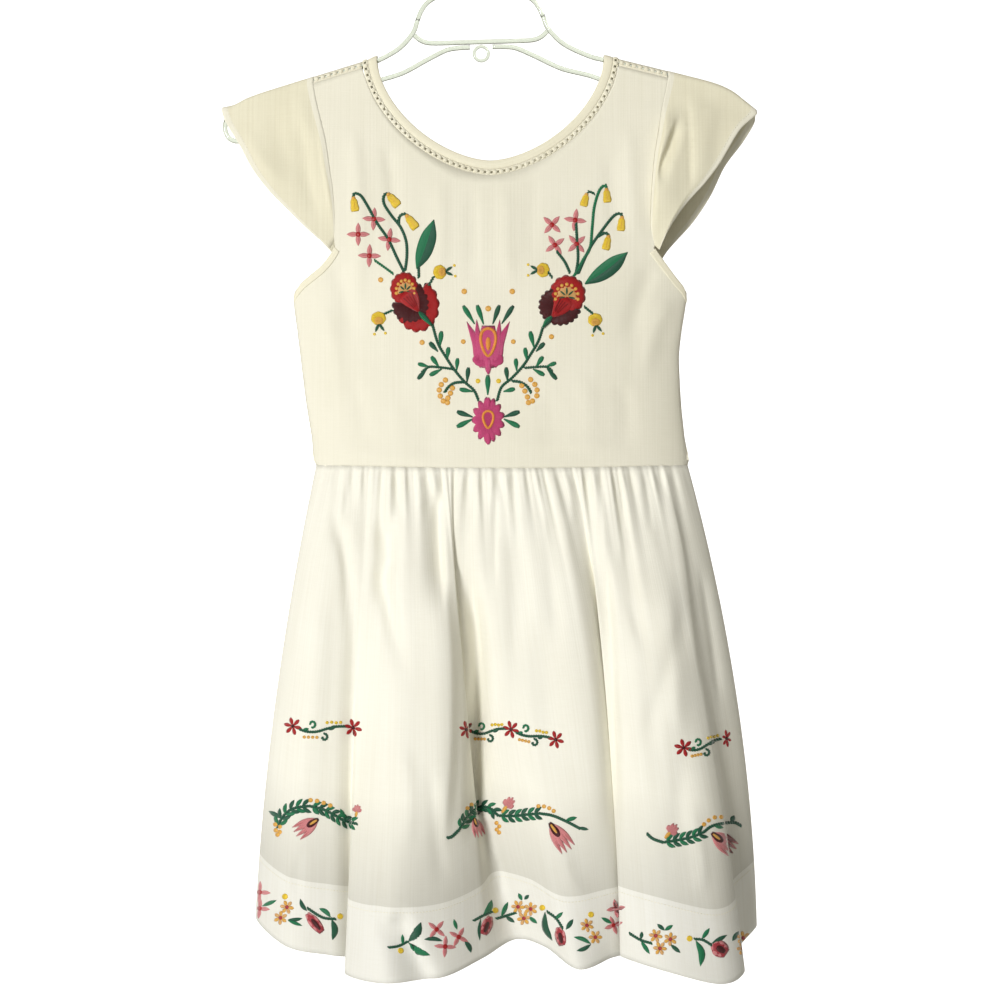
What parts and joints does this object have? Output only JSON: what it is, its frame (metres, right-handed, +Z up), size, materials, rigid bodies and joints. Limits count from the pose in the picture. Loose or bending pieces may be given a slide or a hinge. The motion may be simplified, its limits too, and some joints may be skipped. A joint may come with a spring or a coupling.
{
  "type": "embroidered dress on a hanger",
  "caption": "Girl's white cotton dress with cap sleeves, a gathered skirt and bright embroidered flowers, hung on a clear plastic hanger.",
  "frame": {"origin": "where a closet rail bears inside the top of the hanger's hook", "axes": "+Z up, the dress's front faces -Y, +X to the right as seen from the front"},
  "size_m": [0.4487, 0.1626, 0.8883],
  "materials": {
    "cream_cotton": "matte semi-sheer cotton voile",
    "cotton_trim": "matte cotton binding and openwork trim",
    "clear_plastic": "clear glossy plastic"
  },
  "bodies": {
    "root": {"bodice_front": "cream_cotton", "bodice_back": "cream_cotton", "skirt_front": "cream_cotton", "skirt_back": "cream_cotton", "sleeve_left": "cream_cotton", "sleeve_right": "cream_cotton", "neck_binding": "cotton_trim", "neck_insertion": "cotton_trim", "shoulder_trim_left": "cotton_trim", "shoulder_trim_right": "cotton_trim", "armhole_binding_left": "cotton_trim", "armhole_binding_right": "cotton_trim", "hanger_hook": "clear_plastic", "hanger_dome": "clear_plastic", "hanger_crossbar": "clear_plastic", "hanger_eye": "clear_plastic", "hanger_arm_left": "clear_plastic", "hanger_arm_right": "clear_plastic"}
  },
  "joints": []
}
